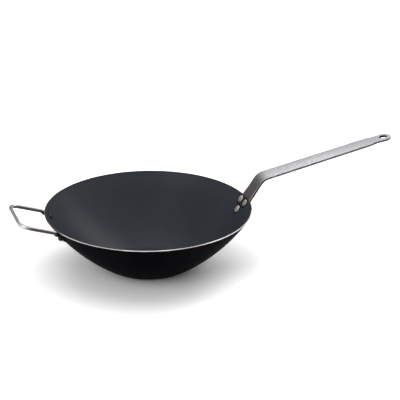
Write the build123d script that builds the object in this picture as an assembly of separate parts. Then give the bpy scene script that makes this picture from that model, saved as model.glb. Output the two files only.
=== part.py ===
from build123d import *
import math
import os

# A carbon steel wok: a pressed bowl, a long strip handle held by three rivets, and a wire loop handle
# opposite it held by two. The origin is the middle of the base's underside, +Z is up, and the long
# handle points along +X. All sizes are in millimetres, and all angles in degrees.

# Bowl, pressed from one sheet. Radii are those of its outside.
rim_diameter = 360.0
rim_height = 103.0
base_diameter = 120.0
base_corner_radius = 36.0
wall_radius = 334.0
sheet_thickness = 2.0
rim_rounding = 0.4

# Long handle, one strip: a pad pressed to the wall, a neck, a bend, a grip and an eye
strip_thickness = 3.8
pad_width = 37.0
pad_end_radius = 13.0
pad_shoulder_distance = 13.0
pad_rise = 7.0
neck_length = 43.6
neck_flat_length = 20.0
bend_radius = 24.0
grip_rise_angle = 11.7
neck_width = 34.7
grip_end_width = 31.5
grip_length = 209.5
shoulder_length = 5.0
shoulder_blend_radius = 6.0
tab_width = 26.5
eye_reach = 26.6
eye_diameter = 28.0
eye_hole_diameter = 13.0
droop_reach = 10.5
droop_radius = 100.0
eye_droop_angle = 2.5
eye_blend_radius = 10.0
strip_rounding = 0.6

# Long handle's rivets: distances run down the wall from the rim
handle_rivet_spacing = 21.5
handle_rivet_distance = 9.3
lower_rivet_distance = 27.2
handle_head_diameter = 14.0
handle_head_height = 2.6
handle_tail_diameter = 12.0
handle_tail_height = 3.2
handle_shank_diameter = 6.0

# Loop handle, one bent wire with a flattened paddle at each end
wire_diameter = 7.0
loop_reach = 55.0
loop_rise_angle = 18.0
loop_corner_radius = 19.0
wall_bend_radius = 7.0
wall_bend_distance = -1.5
wire_lift = 0.3
paddle_thickness = 3.0
paddle_width = 12.0
paddle_length = 19.0
flattening_distance = 4.5
flattened_distance = 9.5

# Loop handle's rivets
loop_rivet_spacing = 93.5
loop_rivet_distance = 14.5
loop_head_diameter = 10.5
loop_head_height = 2.0
loop_tail_diameter = 9.6
loop_tail_height = 4.0
loop_shank_diameter = 5.0

# Fits: how much wider a hole is than its rivet, how far cutters run past a face, and how high the
# straight side of a rivet's head is, as a share of the head's height
hole_clearance = 0.1
overrun = 5.0
head_side_share = 0.3

# A face counts as one of the strip's broad faces when it turns less than this from them, as a cosine
broad_share = 0.7

rim_radius = rim_diameter / 2
base_radius = base_diameter / 2
wire_radius = wire_diameter / 2

# Along the grip, from the neck's corner: reaches are from the shoulder
eye_distance = grip_length + eye_reach
droop_distance = grip_length + droop_reach


def section_point(centre, radius, angle):
    """The point of a circle in the XZ section, at an angle in radians from straight down."""
    return Vector(centre.X + radius * math.sin(angle), 0, centre.Z - radius * math.cos(angle))


def section_arc(centre, radius, start, end):
    """The arc of such a circle between two angles."""
    middle = (start + end) / 2
    points = [section_point(centre, radius, angle) for angle in (start, middle, end)]
    return ThreePointArc(*points)


def circle_crossing(centre_a, radius_a, centre_b, radius_b):
    """Where two circles in the XZ section cross, above the line between their centres."""
    line = centre_b - centre_a
    along = (line.length**2 + radius_a**2 - radius_b**2) / (2 * line.length)
    aside = math.sqrt(radius_a**2 - along**2)
    ahead = line.normalized()
    upward = Vector(-ahead.Z, 0, ahead.X)
    return centre_a + ahead * along + upward * aside


# The wall's section is two arcs that meet smoothly: the base's corner and the long wall curve
corner_centre = Vector(base_radius, 0, base_corner_radius)
rim_edge = Vector(rim_radius, 0, rim_height)
wall_centre = circle_crossing(corner_centre, wall_radius - base_corner_radius, rim_edge, wall_radius)
corner_angle = math.atan2(corner_centre.X - wall_centre.X, wall_centre.Z - corner_centre.Z)
rim_angle = math.atan2(rim_edge.X - wall_centre.X, wall_centre.Z - rim_edge.Z)


def wall_band(inner, outer, low_angle, extension):
    """Half a ring round the wall, on the +X side, carried on straight past the rim.
    It lies between two offsets from the wall's outside."""
    tangent = Vector(math.cos(rim_angle), 0, math.sin(rim_angle)) * extension
    inner_rim = section_point(wall_centre, wall_radius + inner, rim_angle)
    outer_rim = section_point(wall_centre, wall_radius + outer, rim_angle)
    inner_low = section_point(wall_centre, wall_radius + inner, low_angle)
    outer_low = section_point(wall_centre, wall_radius + outer, low_angle)
    outline = [
        section_arc(wall_centre, wall_radius + inner, low_angle, rim_angle),
        Line(inner_rim, inner_rim + tangent),
        Line(inner_rim + tangent, outer_rim + tangent),
        Line(outer_rim + tangent, outer_rim),
        section_arc(wall_centre, wall_radius + outer, rim_angle, low_angle),
        Line(outer_low, inner_low),
    ]
    return revolve(Rot(0, 0, -90) * make_face(outline), Axis.Z, 180)


def wall_frame(distance, sideways, turned=0):
    """A plane on the wall's outside, down from the rim and sideways: X runs down the wall, Z outward."""
    angle = rim_angle - distance / wall_radius
    origin = section_point(wall_centre, wall_radius, angle)
    down = Vector(-math.cos(angle), 0, -math.sin(angle))
    outward = Vector(math.sin(angle), 0, -math.cos(angle))
    side_angle = math.degrees(math.asin(sideways / origin.X))
    return Plane(Rot(0, 0, turned + side_angle) * Plane(origin, down, outward).location)


def bowl_sheet():
    """The pressed bowl, before its holes."""
    corner_inside = base_corner_radius - sheet_thickness
    wall_inside = wall_radius - sheet_thickness
    outline = [
        Line((0, 0, 0), (base_radius, 0, 0)),
        section_arc(corner_centre, base_corner_radius, 0, corner_angle),
        section_arc(wall_centre, wall_radius, corner_angle, rim_angle),
        Line(rim_edge, section_point(wall_centre, wall_inside, rim_angle)),
        section_arc(wall_centre, wall_inside, rim_angle, corner_angle),
        section_arc(corner_centre, corner_inside, corner_angle, 0),
        Line((base_radius, 0, sheet_thickness), (0, 0, sheet_thickness)),
        Line((0, 0, sheet_thickness), (0, 0, 0)),
    ]
    sheet = revolve(make_face(outline), Axis.Z, 360)
    rim_edges = sheet.edges().group_by(Axis.Z)[-2:]
    return fillet([edge for group in rim_edges for edge in group], rim_rounding)


def rivet_hole(frame, shank_diameter):
    """A cutter for one rivet's hole, through everything that the rivet holds."""
    length = 2 * (sheet_thickness + strip_thickness + overrun)
    return frame.location * Cylinder((shank_diameter + hole_clearance) / 2, length)


def domed_head(diameter, height, seat, root):
    """A rivet's head along +Z: straight sided at its edge, then domed. It starts at its root."""
    side = seat + head_side_share * height
    top = seat + height
    outline = [
        Line((0, 0, root), (diameter / 2, 0, root)),
        Line((diameter / 2, 0, root), (diameter / 2, 0, side)),
        TangentArc((0, 0, top), (diameter / 2, 0, side), tangent=(1, 0, 0)),
        Line((0, 0, top), (0, 0, root)),
    ]
    return revolve(make_face(outline), Axis.Z, 360)


def rivet(frame, held, held_thickness, head_size, tail_size, shank_diameter):
    """A rivet with its head inside the bowl and its tail outside, both shaped to what they sit on.
    A size is a diameter and a height."""
    head_height = head_size[1]
    tail_height = tail_size[1]
    head = domed_head(*head_size, sheet_thickness, sheet_thickness / 2)
    tail = domed_head(*tail_size, held_thickness, held_thickness / 2)
    head_solid = frame.location * (Rot(180, 0, 0) * head) - sheet
    tail_solid = frame.location * tail - held
    shank_low = -sheet_thickness - head_height / 2
    shank_high = held_thickness + tail_height / 2
    shank = Pos(0, 0, (shank_low + shank_high) / 2) * Cylinder(shank_diameter / 2, shank_high - shank_low)
    return head_solid + tail_solid + frame.location * shank


def rounded_path(points, radii):
    """A line through the points with an arc of its own radius at each corner between its ends."""
    edges = []
    start = points[0]
    for before, corner, after, radius in zip(points, points[1:], points[2:], radii):
        inward = (before - corner).normalized()
        onward = (after - corner).normalized()
        half_angle = math.radians(inward.get_angle(onward)) / 2
        reach = radius / math.tan(half_angle)
        bisector = (inward + onward).normalized()
        middle = corner + bisector * (radius / math.sin(half_angle) - radius)
        edges.append(Line(start, corner + inward * reach))
        edges.append(ThreePointArc(corner + inward * reach, middle, corner + onward * reach))
        start = corner + onward * reach
    edges.append(Line(start, points[-1]))
    return Wire(edges)


# Where the rivets go
handle_frames = {
    "handle_rivet_left": wall_frame(handle_rivet_distance, handle_rivet_spacing / 2),
    "handle_rivet_right": wall_frame(handle_rivet_distance, -handle_rivet_spacing / 2),
    "handle_rivet_lower": wall_frame(lower_rivet_distance, 0),
}
loop_frames = {
    "loop_rivet_left": wall_frame(loop_rivet_distance, loop_rivet_spacing / 2, 180),
    "loop_rivet_right": wall_frame(loop_rivet_distance, -loop_rivet_spacing / 2, 180),
}


def grip_direction(droop_angle):
    """The way the grip points, less an angle that it has drooped by."""
    rise = math.radians(grip_rise_angle - droop_angle)
    return Vector(math.cos(rise), 0, math.sin(rise))


def pad_outline():
    """The pad's outline on the wall: square across the rim, then tapering to a round end."""
    head_length = pad_shoulder_distance + pad_rise
    head = Pos(head_length / 2 - pad_rise) * Rectangle(head_length, pad_width)
    end = Pos(lower_rivet_distance) * Rot(0, 0, 180) * Circle(pad_end_radius)
    return make_hull(head.edges() + end.edges())


def grip_outline(taper_start):
    """The grip's outline from above: tapering to the shoulder, then a narrow tab with a round eye."""
    shoulder = grip_length + shoulder_length
    half_widths = [
        (-neck_length, neck_width / 2),
        (taper_start, neck_width / 2),
        (grip_length, grip_end_width / 2),
        (shoulder, tab_width / 2),
        (eye_distance, tab_width / 2),
    ]
    mirrored = [(along, -half) for along, half in reversed(half_widths)]
    blade = make_face(Polyline(half_widths + mirrored, close=True))
    corners = [corner for corner in blade.vertices() if grip_length <= corner.X <= shoulder]
    blade = fillet(corners, shoulder_blend_radius)
    eye = Pos(eye_distance) * Circle(eye_diameter / 2)
    outline = blade + eye
    tab_start = shoulder + shoulder_blend_radius
    waists = [corner for corner in outline.vertices() if tab_start < corner.X < eye_distance]
    return fillet(waists, eye_blend_radius)


def long_edges(solid, facing, start):
    """The edges round the two broad faces of a strip, from a starting plane onward.
    The broad faces are those that look along a direction, or against it."""
    broad = [face for face in solid.faces() if abs(face.normal_at(face.center()).dot(facing)) > broad_share]
    edges = [edge for face in broad for edge in face.edges()]
    outer = [edge for edge in edges if edges.count(edge) == 1]
    return [edge for edge in outer if (edge.center() - start.origin).dot(start.z_dir) > 0]


def long_handle():
    """The strip: a pad curved like the wall, a neck that flattens out, then a bend, a grip and an eye."""
    rim_frame = wall_frame(0, 0)
    climb = -rim_frame.x_dir
    pad_end = lower_rivet_distance + pad_end_radius + overrun
    ring = wall_band(0, strip_thickness, rim_angle - pad_end / wall_radius, pad_rise + overrun)
    prism = extrude(pad_outline(), 2 * strip_thickness + overrun, both=True)
    pad = ring & (rim_frame.location * prism)
    pad_top = pad.faces().sort_by(Axis(rim_frame.origin, climb))[-1]
    middle = rim_frame.origin + rim_frame.z_dir * strip_thickness / 2
    neck_frame = Plane(middle + climb * neck_flat_length, Vector(0, 1, 0), climb)
    neck_top = neck_frame.location * Rectangle(neck_width, strip_thickness)
    neck = loft([pad_top, neck_top.face()])
    grip_along = grip_direction(0)
    eye_along = grip_direction(eye_droop_angle)
    corner = middle + climb * neck_length
    droop = corner + grip_along * droop_distance
    tip = droop + eye_along * (eye_distance + eye_diameter - droop_distance)
    path = rounded_path([neck_frame.origin, corner, droop, tip], [bend_radius, droop_radius])
    strip = sweep(neck_frame.location * Rectangle(2 * pad_width, strip_thickness), path)
    turn = rim_angle - math.radians(grip_rise_angle)
    taper_start = bend_radius * math.tan(turn / 2) + strip_thickness
    grip_frame = Plane(corner, grip_along, grip_along.cross(Vector(0, 1, 0)))
    prism = extrude(grip_outline(taper_start), neck_length, both=True)
    grip = strip & (grip_frame.location * prism)
    blank = (pad + neck + grip).solid()
    facing = (grip_frame.z_dir - rim_frame.z_dir).normalized()
    handle = blank.fillet(strip_rounding, long_edges(blank, facing, neck_frame))
    for frame in handle_frames.values():
        handle -= rivet_hole(frame, handle_shank_diameter)
    eye_middle = droop + eye_along * (eye_distance - droop_distance)
    eye_frame = Plane(eye_middle, z_dir=eye_along.cross(Vector(0, 1, 0)))
    return handle - eye_frame.location * Cylinder(eye_hole_diameter / 2, strip_thickness + overrun)


def paddle(frame):
    """One flattened end of the wire: a slot-shaped plate curved like the wall."""
    reach = loop_rivet_distance + paddle_length + overrun
    ring = Rot(0, 0, 180) * wall_band(0, paddle_thickness, rim_angle - reach / wall_radius, overrun)
    outline = SlotOverall(paddle_length, paddle_width)
    return ring & (frame.location * extrude(outline, 2 * paddle_thickness, both=True))


def flattening(frame):
    """The wire's change from round to flat, from its last bend down to the rivet's tail."""
    round_place = Pos(flattening_distance - loop_rivet_distance, 0, wire_radius + wire_lift)
    flat_place = Pos(flattened_distance - loop_rivet_distance, 0, wire_lift / 2 + paddle_thickness / 2)
    round_end = round_place * Rot(0, 90, 0) * Circle(wire_radius)
    flat_end = flat_place * Rot(0, 90, 0) * Ellipse(paddle_thickness / 2 - wire_lift / 2, paddle_width / 2)
    return frame.location * loft([round_end.face(), flat_end.face()])


def loop_handle():
    """The wire: an outer bar, two corners, two legs, two bends down the wall and two flattened ends."""
    frames = list(loop_frames.values())
    rise = math.radians(loop_rise_angle)
    outward = Vector(-math.cos(rise), 0, math.sin(rise))
    foot = []
    knee = []
    corner = []
    for frame in frames:
        height = frame.z_dir * (wire_radius + wire_lift)
        climb = -frame.x_dir
        foot.append(frame.origin + height + climb * (loop_rivet_distance - flattening_distance))
        knee.append(frame.origin + height + climb * (loop_rivet_distance - wall_bend_distance))
        leg_length = (rim_radius + loop_reach + knee[-1].X) / math.cos(rise)
        corner.append(knee[-1] + outward * leg_length)
    radii = [wall_bend_radius, loop_corner_radius, loop_corner_radius, wall_bend_radius]
    path = rounded_path([foot[0], knee[0], corner[0], corner[1], knee[1], foot[1]], radii)
    start = Plane(foot[0], z_dir=-frames[0].x_dir)
    wire = sweep(start.location * Circle(wire_radius), path)
    handle = wire
    for frame in frames:
        handle = handle + paddle(frame) + flattening(frame)
        handle -= rivet_hole(frame, loop_shank_diameter)
    return handle


sheet = bowl_sheet()
pad_ring = wall_band(0, strip_thickness, corner_angle, pad_rise)
paddle_ring = Rot(0, 0, 180) * wall_band(0, paddle_thickness, corner_angle, overrun)

bowl = sheet
for frame in handle_frames.values():
    bowl -= rivet_hole(frame, handle_shank_diameter)
for frame in loop_frames.values():
    bowl -= rivet_hole(frame, loop_shank_diameter)

nodes = {"bowl": bowl, "long_handle": long_handle(), "loop_handle": loop_handle()}
for name, frame in handle_frames.items():
    nodes[name] = rivet(
        frame,
        pad_ring,
        strip_thickness,
        (handle_head_diameter, handle_head_height),
        (handle_tail_diameter, handle_tail_height),
        handle_shank_diameter,
    )
for name, frame in loop_frames.items():
    nodes[name] = rivet(
        frame,
        paddle_ring,
        paddle_thickness,
        (loop_head_diameter, loop_head_height),
        (loop_tail_diameter, loop_tail_height),
        loop_shank_diameter,
    )

os.makedirs("parts", exist_ok=True)
for name, node in nodes.items():
    export_step(node, f"parts/{name}.step")
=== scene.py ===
import bpy
import math
from mathutils import Matrix, Vector

# The look of a carbon steel wok: dark coated bowl, pebbled steel strip handle, polished wire loop
# handle and dull rivets. Lengths are in metres, in the frame's own axes: the origin is under the
# middle of the flat base, +Z is up, +X runs along the long handle, and the loop is on the -X side.

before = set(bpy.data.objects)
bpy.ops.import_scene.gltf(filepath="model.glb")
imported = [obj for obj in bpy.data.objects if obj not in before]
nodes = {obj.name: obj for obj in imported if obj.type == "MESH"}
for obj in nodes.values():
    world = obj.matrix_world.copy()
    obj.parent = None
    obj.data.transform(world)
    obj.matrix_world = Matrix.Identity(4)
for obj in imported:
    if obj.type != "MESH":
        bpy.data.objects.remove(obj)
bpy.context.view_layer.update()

# Places on the wok. A pair runs from where an effect begins to where it is full.
RIM_HEIGHT = 0.103
CUT_EDGE_HEIGHT = (0.101, 0.1015)
RIM_SHADE_ACROSS = (0.070, 0.052)
SHADE_BAND_TOP = (0.165, 0.125)
SHADE_BAND_FOOT = (0.07, 0.11)
UPPER_WALL_LIGHT_RADIUS = (0.155, 0.176)
HEAD_SHADOW_RINGS = {"handle_rivet": (0.0120, 0.0092), "loop_rivet": (0.0088, 0.0068)}
NECK_SHADE_ALONG = (0.222, 0.194)
NECK_HIGHLIGHT_ACROSS = (0.0152, 0.0162)
GRIP_FAR_END_SHADE_ALONG = (0.30, 0.44)
GRIP_SHADE_ACROSS = (-0.013, 0.015)
EYE_CENTRE = (0.437187, 0.0, 0.185338)
EYE_SHADE_REACH = (0.0080, 0.0069)
LOOP_BAR_ALONG = (-0.216, -0.231)
FLATTENED_END_HEIGHT = (0.1015, 0.099)


def shade(value):
    """A grey or colour given as display levels from 0 to 255, as linear RGBA."""
    levels = value if isinstance(value, tuple) else (value,) * 3
    linear = []
    for level in levels:
        share = level / 255
        linear.append(share / 12.92 if share <= 0.04045 else ((share + 0.055) / 1.055) ** 2.4)
    return (*linear, 1.0)


class Graph:
    """Adds nodes to a material's tree or a node group's tree, and links them."""

    def __init__(self, tree):
        self.tree = tree

    def feed(self, socket, value):
        """Links the socket to another one, or sets it to a plain value."""
        if isinstance(value, bpy.types.NodeSocket):
            self.tree.links.new(value, socket)
        else:
            socket.default_value = value

    def feed_by_name(self, node, values):
        """Feeds a node's inputs by name, with underscores for spaces."""
        for name, value in values.items():
            self.feed(node.inputs[name.replace("_", " ")], value)

    def add(self, kind, inputs=None, **settings):
        """A new node with these settings, its inputs fed by name or number."""
        made = self.tree.nodes.new(kind)
        for name, value in settings.items():
            setattr(made, name, value)
        for name, value in (inputs or {}).items():
            self.feed(made.inputs[name], value)
        return made

    def maths(self, operation, *values, clamp=False):
        """The result of a Math node."""
        inputs = dict(enumerate(values))
        return self.add("ShaderNodeMath", inputs, operation=operation, use_clamp=clamp).outputs[0]

    def scaled(self, value, factor):
        """A value made larger or smaller by a factor."""
        return self.maths("MULTIPLY", value, factor)

    def vector_maths(self, operation, *values):
        """The result of a Vector Math node, a number for a dot product or a length."""
        made = self.add("ShaderNodeVectorMath", dict(enumerate(values)), operation=operation)
        return made.outputs["Value" if operation in ("DOT_PRODUCT", "LENGTH") else "Vector"]

    def distance(self, place, centre):
        """How far a place is from a centre."""
        return self.vector_maths("LENGTH", self.vector_maths("SUBTRACT", place, centre))

    def split(self, vector):
        """The X, Y and Z of a vector, as outputs by name."""
        return self.add("ShaderNodeSeparateXYZ", {"Vector": vector}).outputs

    def bump(self, height, strength, depth):
        """A normal bent by a height from 0 to 1 that stands for this depth in metres."""
        inputs = {"Height": height, "Strength": strength, "Distance": depth}
        return self.add("ShaderNodeBump", inputs).outputs["Normal"]

    def mask(self, value, low, high):
        """0 at low, 1 at high and smooth between them. Low may be the larger of the two."""
        inputs = {"Value": value, "From Min": low, "From Max": high}
        made = self.add("ShaderNodeMapRange", inputs, interpolation_type="SMOOTHSTEP")
        return made.outputs["Result"]

    def spread(self, value, low, high):
        """A value from 0 to 1 carried to the range from low to high."""
        inputs = {"Value": value, "To Min": low, "To Max": high}
        return self.add("ShaderNodeMapRange", inputs).outputs["Result"]

    def blend(self, share, first, second):
        """One colour turning into another as the share goes from 0 to 1."""
        made = self.add("ShaderNodeMix", data_type="RGBA")
        share_socket, first_socket, second_socket, result_socket = 0, 6, 7, 2
        self.feed(made.inputs[share_socket], share)
        self.feed(made.inputs[first_socket], first)
        self.feed(made.inputs[second_socket], second)
        return made.outputs[result_socket]

    def noise(self, vector, scale, detail=2.0, roughness=0.5):
        """Smooth noise from 0 to 1, finer as the scale goes up."""
        inputs = {"Vector": vector, "Scale": scale, "Detail": detail, "Roughness": roughness}
        return self.add("ShaderNodeTexNoise", inputs).outputs["Fac"]


def effect(name, sockets_in, sockets_out):
    """A new shader node group, its graph, its inputs' node and its outputs' node."""
    group = bpy.data.node_groups.new(name, "ShaderNodeTree")
    for socket, kind, value in sockets_in:
        made = group.interface.new_socket(socket, in_out="INPUT", socket_type=kind)
        if value is not None:
            made.default_value = value
    for socket, kind in sockets_out:
        group.interface.new_socket(socket, in_out="OUTPUT", socket_type=kind)
    graph = Graph(group)
    return group, graph, graph.add("NodeGroupInput"), graph.add("NodeGroupOutput")


def pebbled_group():
    """Fine rounded grains, as on pickled or coated steel: a height and a tone, both 0 to 1."""
    group, graph, ins, outs = effect(
        "pebbled_skin",
        [("Position", "NodeSocketVector", None), ("Grains per metre", "NodeSocketFloat", 500.0)],
        [("Height", "NodeSocketFloat"), ("Tone", "NodeSocketFloat")],
    )
    position, density = ins.outputs["Position"], ins.outputs["Grains per metre"]
    cells = graph.add(
        "ShaderNodeTexVoronoi",
        {"Vector": position, "Scale": density, "Randomness": 1.0},
        feature="SMOOTH_F1",
    )
    finer, dome_height, dome_tone = 1.7, 0.6, 0.45
    fine = graph.noise(position, graph.scaled(density, finer), 3.0, 0.6)
    domes = graph.maths("SUBTRACT", 1.0, cells.outputs["Distance"], clamp=True)
    height = graph.maths("MULTIPLY_ADD", domes, dome_height, graph.scaled(fine, 1.0 - dome_height))
    tone = graph.maths("ADD", graph.scaled(domes, dome_tone), graph.scaled(fine, 1.0 - dome_tone))
    graph.tree.links.new(height, outs.inputs["Height"])
    graph.tree.links.new(tone, outs.inputs["Tone"])
    return group


def mottle_group():
    """Soft cloudy patches of two sizes, as oil, heat and handling leave on metal: 0 to 1."""
    group, graph, ins, outs = effect(
        "cloudy_wear",
        [("Position", "NodeSocketVector", None), ("Patches per metre", "NodeSocketFloat", 20.0)],
        [("Patch", "NodeSocketFloat"), ("Smudge", "NodeSocketFloat")],
    )
    position, density = ins.outputs["Position"], ins.outputs["Patches per metre"]
    smudges_per_patch = 6.0
    broad = graph.noise(position, density, 3.0, 0.55)
    small = graph.noise(position, graph.scaled(density, smudges_per_patch), 4.0, 0.6)
    graph.tree.links.new(graph.mask(broad, 0.35, 0.65), outs.inputs["Patch"])
    graph.tree.links.new(graph.mask(small, 0.4, 0.7), outs.inputs["Smudge"])
    return group


def scratch_group():
    """Sparse fine scratches along the X axis of the position it is given: 0 to 1."""
    group, graph, ins, outs = effect(
        "fine_scratches",
        [("Position", "NodeSocketVector", None)],
        [("Scratch", "NodeSocketFloat")],
    )
    along, across = 12.0, 900.0
    stretched = graph.add(
        "ShaderNodeMapping",
        {"Vector": ins.outputs["Position"], "Scale": (along, across, across)},
    ).outputs["Vector"]
    lines = graph.noise(stretched, 1.0)
    graph.tree.links.new(graph.mask(lines, 0.66, 0.74), outs.inputs["Scratch"])
    return group


PEBBLED = pebbled_group()
MOTTLED = mottle_group()
SCRATCHED = scratch_group()


def new_finish(name):
    """A new material with its graph, shader, object position and true normal."""
    finish = bpy.data.materials.new(name)
    finish.use_nodes = True
    tree = finish.node_tree
    tree.nodes.clear()
    graph = Graph(tree)
    shader = graph.add("ShaderNodeBsdfPrincipled")
    output = graph.add("ShaderNodeOutputMaterial")
    tree.links.new(shader.outputs["BSDF"], output.inputs["Surface"])
    place = graph.add("ShaderNodeTexCoord").outputs["Object"]
    normal = graph.add("ShaderNodeNewGeometry").outputs["True Normal"]
    return finish, graph, shader, place, normal


def use_effect(graph, group, **inputs):
    """Places a shared effect in a material, with its own values. Gives its outputs by name."""
    made = graph.add("ShaderNodeGroup", node_tree=group)
    graph.feed_by_name(made, inputs)
    return made.outputs


def connect(graph, shader, **inputs):
    """Links or sets the shader's sockets by name, with underscores for spaces."""
    graph.feed_by_name(shader, inputs)


def middle_of(node_name):
    """The middle of a node's box, as a plain tuple."""
    piece = nodes[node_name]
    corners = [piece.matrix_world @ Vector(corner) for corner in piece.bound_box]
    return tuple(sum(corners, Vector()) / len(corners))


def paint_head_shadows(graph, place):
    """1 in a narrow ring of the wall round each rivet head, where a dark shadow is painted."""
    painted_shade = 0.0
    for kind, ring in HEAD_SHADOW_RINGS.items():
        for node_name in sorted(name for name in nodes if name.startswith(kind)):
            reach = graph.distance(place, middle_of(node_name))
            painted_shade = graph.maths("MAXIMUM", painted_shade, graph.mask(reach, *ring))
    return painted_shade


def bowl_finish():
    """Dark blue-grey inside, near black outside, and bare steel on the rim's cut edge."""
    finish, graph, shader, place, normal = new_finish("coated_bowl_steel")
    from_axis = graph.vector_maths("MULTIPLY", place, (1.0, 1.0, 0.0))
    radius = graph.vector_maths("LENGTH", from_axis)
    outward = graph.vector_maths("DOT_PRODUCT", normal, graph.vector_maths("NORMALIZE", from_axis))
    upward = graph.split(normal)["Z"]
    spot = graph.split(place)

    # Where the surface is the inside, and where it is the bare edge that the rim was cut to,
    # which beside the two handles mostly takes the dark coat instead, as painted shade
    inside = graph.mask(upward, -0.1, 0.1)
    cut = graph.maths("MULTIPLY", graph.mask(outward, 0.35, 0.5), graph.mask(upward, 0.6, 0.78))
    cut = graph.maths("MULTIPLY", cut, graph.mask(spot["Z"], *CUT_EDGE_HEIGHT))
    bare_share_in_rim_shade = 0.12
    rim_shade_by_handles = graph.mask(graph.maths("ABSOLUTE", spot["Y"]), *RIM_SHADE_ACROSS)
    cut = graph.maths("MULTIPLY", cut, graph.spread(rim_shade_by_handles, 1.0, bare_share_in_rim_shade))

    grain = use_effect(graph, PEBBLED, Position=place, Grains_per_metre=1400.0)
    cloud = use_effect(graph, MOTTLED, Position=place, Patches_per_metre=14.0)
    around = graph.add("ShaderNodeCombineXYZ", {"X": radius, "Y": spot["Z"]}).outputs["Vector"]
    spinning_lines = graph.noise(around, 260.0)

    # Inside: mottled coat, with painted shade low on the wall, painted light near the rim
    # and painted shadows round the rivet heads
    inner = graph.blend(cloud["Patch"], shade((31, 34, 40)), shade((36, 39, 45)))
    inner = graph.blend(graph.scaled(grain["Tone"], 0.35), inner, shade((50, 52, 58)))
    low_wall_shade = graph.maths(
        "MULTIPLY", graph.mask(radius, *SHADE_BAND_TOP), graph.mask(radius, *SHADE_BAND_FOOT)
    )
    inner = graph.blend(graph.scaled(low_wall_shade, 0.25), inner, shade((21, 24, 29)))
    # Painted light on the upper wall, paler towards the rim
    upper_wall_light = graph.mask(radius, *UPPER_WALL_LIGHT_RADIUS)
    inner = graph.blend(graph.scaled(upper_wall_light, 0.4), inner, shade((50, 53, 59)))
    # Painted shadow: a near black ring round each rivet head
    painted_shade = paint_head_shadows(graph, place)
    inner = graph.blend(graph.scaled(painted_shade, 0.85), inner, shade((8, 8, 10)))

    outer = graph.blend(cloud["Patch"], shade((2, 2, 4)), shade((6, 6, 9)))
    coat = graph.blend(inside, outer, inner)
    bare = graph.blend(cloud["Patch"], shade((214, 209, 206)), shade((174, 169, 167)))

    rough = graph.spread(cloud["Patch"], 0.4, 0.48)
    rough = graph.maths("ADD", rough, graph.scaled(spinning_lines, 0.08))
    rough = graph.maths("MULTIPLY", rough, graph.spread(cut, 1.0, 1.5))
    skin = graph.maths("MULTIPLY_ADD", spinning_lines, 0.3, grain["Height"])
    # Less coat gloss in the painted shade low on the wall and in the painted shadows round the
    # heads
    gloss = graph.maths(
        "MULTIPLY", graph.spread(low_wall_shade, 0.42, 0.38), graph.spread(painted_shade, 1.0, 0.25)
    )
    glossy_inside = graph.maths("SUBTRACT", inside, cut, clamp=True)
    connect(
        graph,
        shader,
        Base_Color=graph.blend(cut, coat, bare),
        Metallic=cut,
        Roughness=rough,
        Normal=graph.bump(skin, 0.12, 0.0002),
        Specular_IOR_Level=0.004,
        Coat_Weight=graph.maths("MULTIPLY", glossy_inside, gloss),
        Coat_Roughness=0.4,
        Coat_IOR=1.28,
    )
    return finish


def strip_finish():
    """Light grey pebbled steel, with painted shade on its neck, pad and sheared edges."""
    finish, graph, shader, place, normal = new_finish("pebbled_strip_steel")
    spot = graph.split(place)
    facing = graph.split(normal)
    from_middle = graph.maths("ABSOLUTE", spot["Y"])

    # The sheared edges are the faces that look sideways, or along the strip at its ends
    sideways = graph.mask(graph.maths("ABSOLUTE", facing["Y"]), 0.2, 0.55)
    endways = graph.mask(graph.maths("ABSOLUTE", facing["Z"]), 0.42, 0.25)
    sheared = graph.maths("MAXIMUM", sideways, endways)

    grain = use_effect(graph, PEBBLED, Position=place, Grains_per_metre=340.0)
    cloud = use_effect(graph, MOTTLED, Position=place, Patches_per_metre=25.0)
    scratch = use_effect(graph, SCRATCHED, Position=place)["Scratch"]

    # Grip: pebbled and lightly marked, with painted shade at its far end and towards its +Y side
    pebbles = graph.mask(grain["Tone"], 0.3, 0.75)
    face = graph.blend(pebbles, shade((150, 149, 152)), shade((210, 210, 213)))
    face = graph.blend(graph.scaled(cloud["Smudge"], 0.3), face, shade((180, 178, 180)))
    face = graph.blend(graph.scaled(scratch, 0.25), face, shade(225))
    far_end_shade = graph.mask(spot["X"], *GRIP_FAR_END_SHADE_ALONG)
    face = graph.blend(graph.scaled(far_end_shade, 0.6), face, shade((150, 147, 151)))
    far_side_shade = graph.mask(spot["Y"], *GRIP_SHADE_ACROSS)
    face = graph.blend(graph.scaled(far_side_shade, 0.56), face, shade((138, 136, 140)))

    # Neck and pad: painted shade, with a painted highlight line just inside each edge
    neck_shade = graph.mask(spot["X"], *NECK_SHADE_ALONG)
    shaded_neck = graph.blend(grain["Tone"], shade((52, 48, 51)), shade((116, 110, 115)))
    face = graph.blend(neck_shade, face, shaded_neck)
    # Painted highlight: a bright line just inside each edge of the neck
    edge_highlight = graph.maths("MULTIPLY", neck_shade, graph.mask(from_middle, *NECK_HIGHLIGHT_ACROSS))
    face = graph.blend(graph.scaled(edge_highlight, 0.8), face, shade(200))

    # Painted shade on the sideways faces, darkest on the sides of the neck
    shaded_edge = graph.blend(cloud["Smudge"], shade((72, 68, 70)), shade((106, 102, 104)))
    shaded_edge = graph.blend(graph.scaled(neck_shade, 0.75), shaded_edge, shade((28, 26, 28)))
    colour = graph.blend(sheared, face, shaded_edge)
    # Painted shade in and round the eye hole
    painted_shade = graph.mask(graph.distance(place, EYE_CENTRE), *EYE_SHADE_REACH)
    connect(
        graph,
        shader,
        Base_Color=graph.blend(painted_shade, colour, shade((34, 32, 34))),
        Metallic=0.85,
        Roughness=graph.spread(grain["Tone"], 0.42, 0.58),
        Normal=graph.bump(grain["Height"], 0.7, 0.0005),
    )
    return finish


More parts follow.
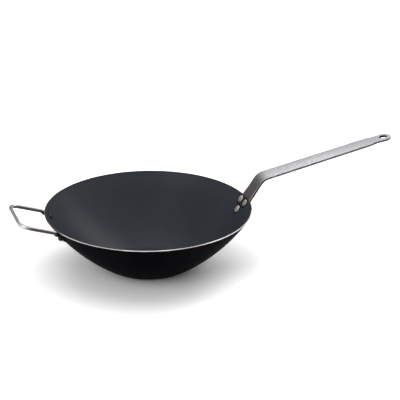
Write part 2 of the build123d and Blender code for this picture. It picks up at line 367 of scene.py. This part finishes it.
def rivet_finish(name, dark, light):
    """Dull steel rivets with hammered heads, from a dark colour in the dents to a light one."""
    finish, graph, shader, place, _ = new_finish(name)
    grain = use_effect(graph, PEBBLED, Position=place, Grains_per_metre=300.0)
    cloud = use_effect(graph, MOTTLED, Position=place, Patches_per_metre=90.0)
    colour = graph.blend(grain["Tone"], dark, light)
    colour = graph.blend(graph.scaled(cloud["Smudge"], 0.4), colour, dark)
    connect(
        graph,
        shader,
        Base_Color=colour,
        Metallic=0.8,
        Roughness=graph.spread(cloud["Patch"], 0.42, 0.54),
        Normal=graph.bump(grain["Height"], 0.6, 0.0008),
    )
    return finish


def wire_finish():
    """Polished steel wire with faint draw lines and smudges, and dark flattened ends. Its light
    and shade are painted on, by which way the surface faces.
    """
    finish, graph, shader, place, normal = new_finish("polished_wire_steel")
    cloud = use_effect(graph, MOTTLED, Position=place, Patches_per_metre=60.0)
    scratch = use_effect(graph, SCRATCHED, Position=place)["Scratch"]
    spot = graph.split(place)
    level = graph.split(normal)["Z"]

    # Legs: painted light on the crown, a painted dark reflection band on the flank
    # and a paler painted reflection low on the side
    lit_crown = graph.blend(cloud["Smudge"], shade((146, 140, 138)), shade((128, 123, 122)))
    low_side = graph.mask(level, -0.2, -0.7)
    shaded_flank = graph.blend(low_side, shade((62, 60, 62)), shade((120, 118, 119)))
    legs = graph.blend(graph.mask(level, 0.4, 0.75), shaded_flank, lit_crown)

    # Outer bar: a painted reflection, brightest along its side, and painted shade underneath
    top_side = graph.mask(level, 0.3, 0.9)
    bar = graph.blend(top_side, shade((204, 202, 204)), shade((146, 143, 145)))
    shaded_underside = graph.mask(level, 0.12, -0.25)
    bar = graph.blend(shaded_underside, bar, shade((84, 82, 84)))

    colour = graph.blend(graph.mask(spot["X"], *LOOP_BAR_ALONG), legs, bar)
    flattened = graph.mask(spot["Z"], *FLATTENED_END_HEIGHT)
    colour = graph.blend(flattened, colour, shade((24, 24, 28)))
    rough = graph.spread(cloud["Patch"], 0.16, 0.24)
    connect(
        graph,
        shader,
        Base_Color=colour,
        Metallic=0.75,
        Roughness=graph.maths("MULTIPLY_ADD", scratch, 0.12, rough),
        Normal=graph.bump(cloud["Smudge"], 0.08, 0.0002),
    )
    return finish


finishes = {
    "bowl": bowl_finish(),
    "long_handle": strip_finish(),
    "loop_handle": wire_finish(),
}
rivet_finishes = {
    "handle_rivet": rivet_finish("dull_rivet_steel", shade((104, 98, 97)), shade((192, 186, 183))),
    "loop_rivet": rivet_finish("dark_rivet_steel", shade((14, 14, 17)), shade((38, 38, 43))),
}
for kind, rivet_steel in rivet_finishes.items():
    for node_name in nodes:
        if node_name.startswith(kind):
            finishes[node_name] = rivet_steel
for node_name, finish in finishes.items():
    for slot in nodes[node_name].material_slots:
        slot.material = finish

# Floor: one large pale sheet that the base stands on
FLOOR_HALF_WIDTH = 6.0
floor_mesh = bpy.data.meshes.new("studio_floor")
floor_corners = [
    (x * FLOOR_HALF_WIDTH, y * FLOOR_HALF_WIDTH, 0.0)
    for x, y in ((-1, -1), (1, -1), (1, 1), (-1, 1))
]
floor_mesh.from_pydata(floor_corners, [], [(0, 1, 2, 3)])
floor = bpy.data.objects.new("studio_floor", floor_mesh)
bpy.context.scene.collection.objects.link(floor)
floor_finish, graph, shader, place, _ = new_finish("pale_paper")
paper_grain = graph.noise(place, 300.0, 3.0)
connect(graph, shader, Base_Color=graph.blend(paper_grain, shade(248), shade(252)), Roughness=0.9)
floor_mesh.materials.append(floor_finish)

# Camera: the photograph's angle and place, fitted to it. The rim's centre is off the middle of the
# picture, so the camera stands a little to its right and above.
CAMERA_TURN = math.radians(17.6)
CAMERA_PITCH = math.radians(22.575)
CAMERA_DISTANCE = 2.88
SHIFT_RIGHT = 0.08952
SHIFT_UP = 0.01553
LENS_LENGTH = 149.56
SENSOR_WIDTH = 36.0
rim_centre = Vector((0.0, 0.0, RIM_HEIGHT))
forward = Vector(
    (
        math.sin(CAMERA_TURN) * math.cos(CAMERA_PITCH),
        math.cos(CAMERA_TURN) * math.cos(CAMERA_PITCH),
        -math.sin(CAMERA_PITCH),
    )
)
right = Vector((math.cos(CAMERA_TURN), -math.sin(CAMERA_TURN), 0.0))
upward = right.cross(forward)
camera_place = rim_centre + right * SHIFT_RIGHT + upward * SHIFT_UP - forward * CAMERA_DISTANCE
lens = bpy.data.cameras.new("photo_camera")
lens.lens = LENS_LENGTH
lens.sensor_width = SENSOR_WIDTH
lens.clip_end = 50.0
camera = bpy.data.objects.new("photo_camera", lens)
bpy.context.scene.collection.objects.link(camera)
turn = Matrix((right, upward, -forward)).transposed()
camera.matrix_world = Matrix.Translation(camera_place) @ turn.to_4x4()
bpy.context.scene.camera = camera


def soft_light(name, bearing, elevation, distance, size, power):
    """A square area light that faces the rim's centre. Its bearing in degrees is 0 at the camera's
    right, 90 straight away from the camera and 270 straight towards it."""
    bearing, elevation = math.radians(bearing), math.radians(elevation)
    away = Vector((-right.y, right.x, 0.0))
    level = right * math.cos(bearing) + away * math.sin(bearing)
    towards = level * math.cos(elevation) + Vector((0.0, 0.0, 1.0)) * math.sin(elevation)
    light = bpy.data.lights.new(name, "AREA")
    light.size = size
    light.energy = power
    lamp = bpy.data.objects.new(name, light)
    bpy.context.scene.collection.objects.link(lamp)
    lamp.location = rim_centre + towards * distance
    lamp.rotation_euler = towards.to_track_quat("Z", "Y").to_euler()


soft_light("overhead_softbox", bearing=90, elevation=80, distance=2.6, size=3.0, power=40)
soft_light("back_right_softbox", bearing=46, elevation=38, distance=3.0, size=1.6, power=46)
soft_light("front_fill", bearing=232, elevation=32, distance=4.2, size=2.4, power=72)

# Surroundings: greyer near the floor, paler overhead
world = bpy.data.worlds.new("studio_world")
world.use_nodes = True
sky = Graph(world.node_tree)
backdrop = world.node_tree.nodes["Background"]
rise = sky.split(sky.add("ShaderNodeTexCoord").outputs["Generated"])["Z"]
sky.feed(backdrop.inputs["Color"], sky.blend(sky.mask(rise, 0.1, 0.6), shade(120), shade(240)))
sky.feed(backdrop.inputs["Strength"], 1.1)
bpy.context.scene.world = world
bpy.context.scene.view_settings.view_transform = "Standard"
